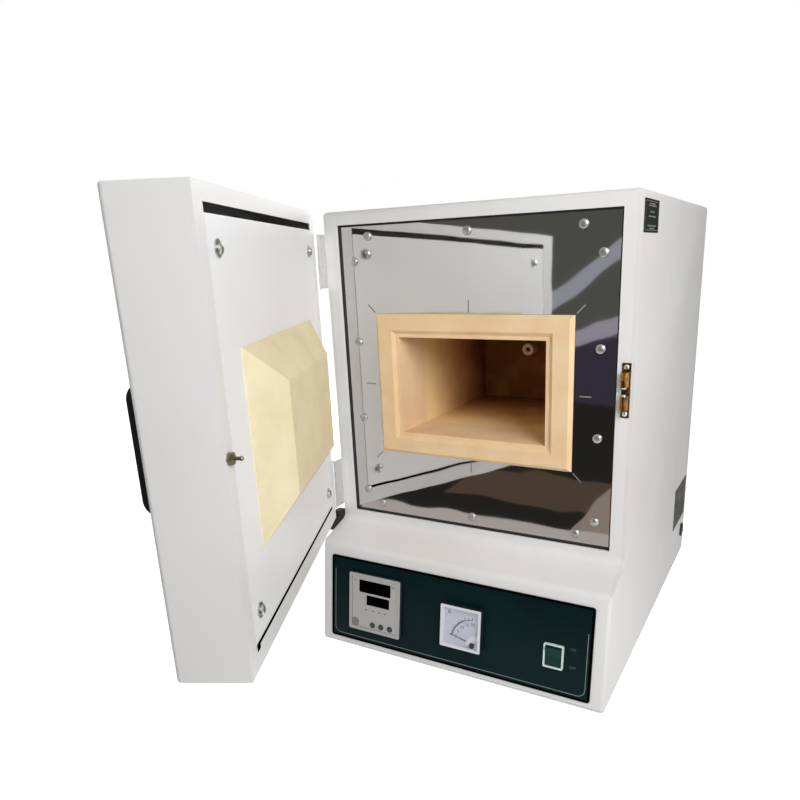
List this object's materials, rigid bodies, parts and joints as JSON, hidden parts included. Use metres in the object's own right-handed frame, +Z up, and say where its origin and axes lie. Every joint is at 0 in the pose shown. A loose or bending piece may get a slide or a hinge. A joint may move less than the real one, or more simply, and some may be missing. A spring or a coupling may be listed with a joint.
{
  "type": "muffle furnace",
  "caption": "Bench-top muffle furnace with a side-hung insulated door, a ceramic-fibre chamber behind a polished heat shield, and a leaning control front.",
  "frame": {"origin": "centre of the resting face, under the middle of the cabinet's 360 by 472 mm foot", "axes": "+X to the right seen from the front, +Y from the control front to the rear cover, +Z up"},
  "size_m": [0.4173, 0.7778, 0.514],
  "materials": {
    "enamel": "satin",
    "liner_paint": "satin",
    "zinc_sheet": "satin",
    "polished_shield": "polished",
    "plated_screws": "polished",
    "hinge_chrome": "polished",
    "gasket": "matte",
    "fibre_board": "matte",
    "plug_fibre": "matte",
    "fibre_wool": "matte",
    "resistance_wire": "matte",
    "porcelain": "gloss",
    "head_metal": "satin",
    "catch_brass": "satin",
    "badge_black": "gloss",
    "plate_metal": "satin",
    "panel_gloss": "gloss",
    "controller_grey": "satin",
    "display_black": "gloss",
    "key_black": "matte",
    "meter_case": "gloss",
    "dial_paint": "matte",
    "needle_black": "matte",
    "meter_glass": "gloss",
    "switch_mint": "gloss",
    "rocker_green": "gloss",
    "relay_plastic": "satin",
    "sink_aluminium": "satin",
    "terminal_plastic": "satin",
    "handle_black": "satin"
  },
  "bodies": {
    "cabinet": {"outer_casing": "enamel", "front_frame": "enamel", "base_front": "enamel", "base_plate": "zinc_sheet", "rear_cover": "enamel", "rear_cover_screws": "plated_screws", "deck_plate": "zinc_sheet", "mirror_plate": "polished_shield", "plate_screws": "plated_screws", "frame_seal": "gasket", "mouth_block": "fibre_board", "chamber_floor": "fibre_board", "chamber_roof": "fibre_board", "chamber_left_wall": "fibre_board", "chamber_right_wall": "fibre_board", "chamber_back": "fibre_board", "heating_wires": "resistance_wire", "insulation_jacket": "fibre_wool", "thermocouple_sheath": "porcelain", "thermocouple_probe": "plated_screws", "thermocouple_head": "head_metal", "element_bushes": "porcelain", "catch_body": "catch_brass", "catch_screws": "catch_brass", "cabinet_hinge_leaves": "hinge_chrome", "hinge_pins": "hinge_chrome", "cabinet_hinge_screws": "plated_screws", "door_buffer": "gasket", "side_badge": "badge_black", "rating_plate": "plate_metal", "control_panel": "panel_gloss", "controller_case": "controller_grey", "controller_face": "controller_grey", "controller_displays": "display_black", "ammeter_case": "meter_case", "ammeter_dial": "dial_paint", "ammeter_window": "meter_glass", "switch_bezel": "switch_mint", "cable_grommet": "gasket", "power_relay": "relay_plastic", "heat_sink": "sink_aluminium", "terminal_block": "terminal_plastic"},
    "door": {"door_shell": "enamel", "door_liner": "liner_paint", "door_board": "fibre_wool", "door_plug": "plug_fibre", "liner_bolts": "plated_screws", "striker": "plated_screws", "door_handle": "handle_black", "handle_screws": "plated_screws", "door_hinge_leaves": "hinge_chrome", "door_hinge_screws": "plated_screws"},
    "set_key": {"key_set": "key_black"},
    "shift_key": {"key_shift": "key_black"},
    "down_key": {"key_down": "key_black"},
    "up_key": {"key_up": "key_black"},
    "power_rocker": {"rocker": "rocker_green"},
    "meter_needle": {"ammeter_needle": "needle_black"},
    "upper_ball": {"catch_ball_upper": "plated_screws"},
    "lower_ball": {"catch_ball_lower": "plated_screws"}
  },
  "joints": [
    {"name": "door_swing", "type": "hinge", "parent": "cabinet", "child": "door", "pos_m": [-0.1818, -0.1872, 0.325], "axis": [0, 0, 1], "range_deg": [-50, 64.4]},
    {"name": "set_key_press", "type": "slide", "parent": "cabinet", "child": "set_key", "axis": [0, 0.9914, -0.1305], "range_m": [0, 0.0008], "stiffness_N_per_m": 400},
    {"name": "shift_key_press", "type": "slide", "parent": "cabinet", "child": "shift_key", "axis": [0, 0.9914, -0.1305], "range_m": [0, 0.0008], "stiffness_N_per_m": 400},
    {"name": "down_key_press", "type": "slide", "parent": "cabinet", "child": "down_key", "axis": [0, 0.9914, -0.1305], "range_m": [0, 0.0008], "stiffness_N_per_m": 400},
    {"name": "up_key_press", "type": "slide", "parent": "cabinet", "child": "up_key", "axis": [0, 0.9914, -0.1305], "range_m": [0, 0.0008], "stiffness_N_per_m": 400},
    {"name": "rocker_tilt", "type": "hinge", "parent": "cabinet", "child": "power_rocker", "pos_m": [0.124, -0.22776, 0.05106], "axis": [1, 0, 0], "range_deg": [-16, 0]},
    {"name": "needle_swing", "type": "hinge", "parent": "cabinet", "child": "meter_needle", "pos_m": [0.0325, -0.23637, 0.04392], "axis": [0, -0.9914, 0.1305], "range_deg": [-85, 0], "stiffness_Nm_per_rad": 0.002},
    {"name": "upper_ball_push", "type": "slide", "parent": "cabinet", "child": "upper_ball", "axis": [0, 0, 1], "range_m": [0, 0.0015], "stiffness_N_per_m": 1500},
    {"name": "lower_ball_push", "type": "slide", "parent": "cabinet", "child": "lower_ball", "axis": [0, 0, -1], "range_m": [0, 0.0015], "stiffness_N_per_m": 1500}
  ]
}
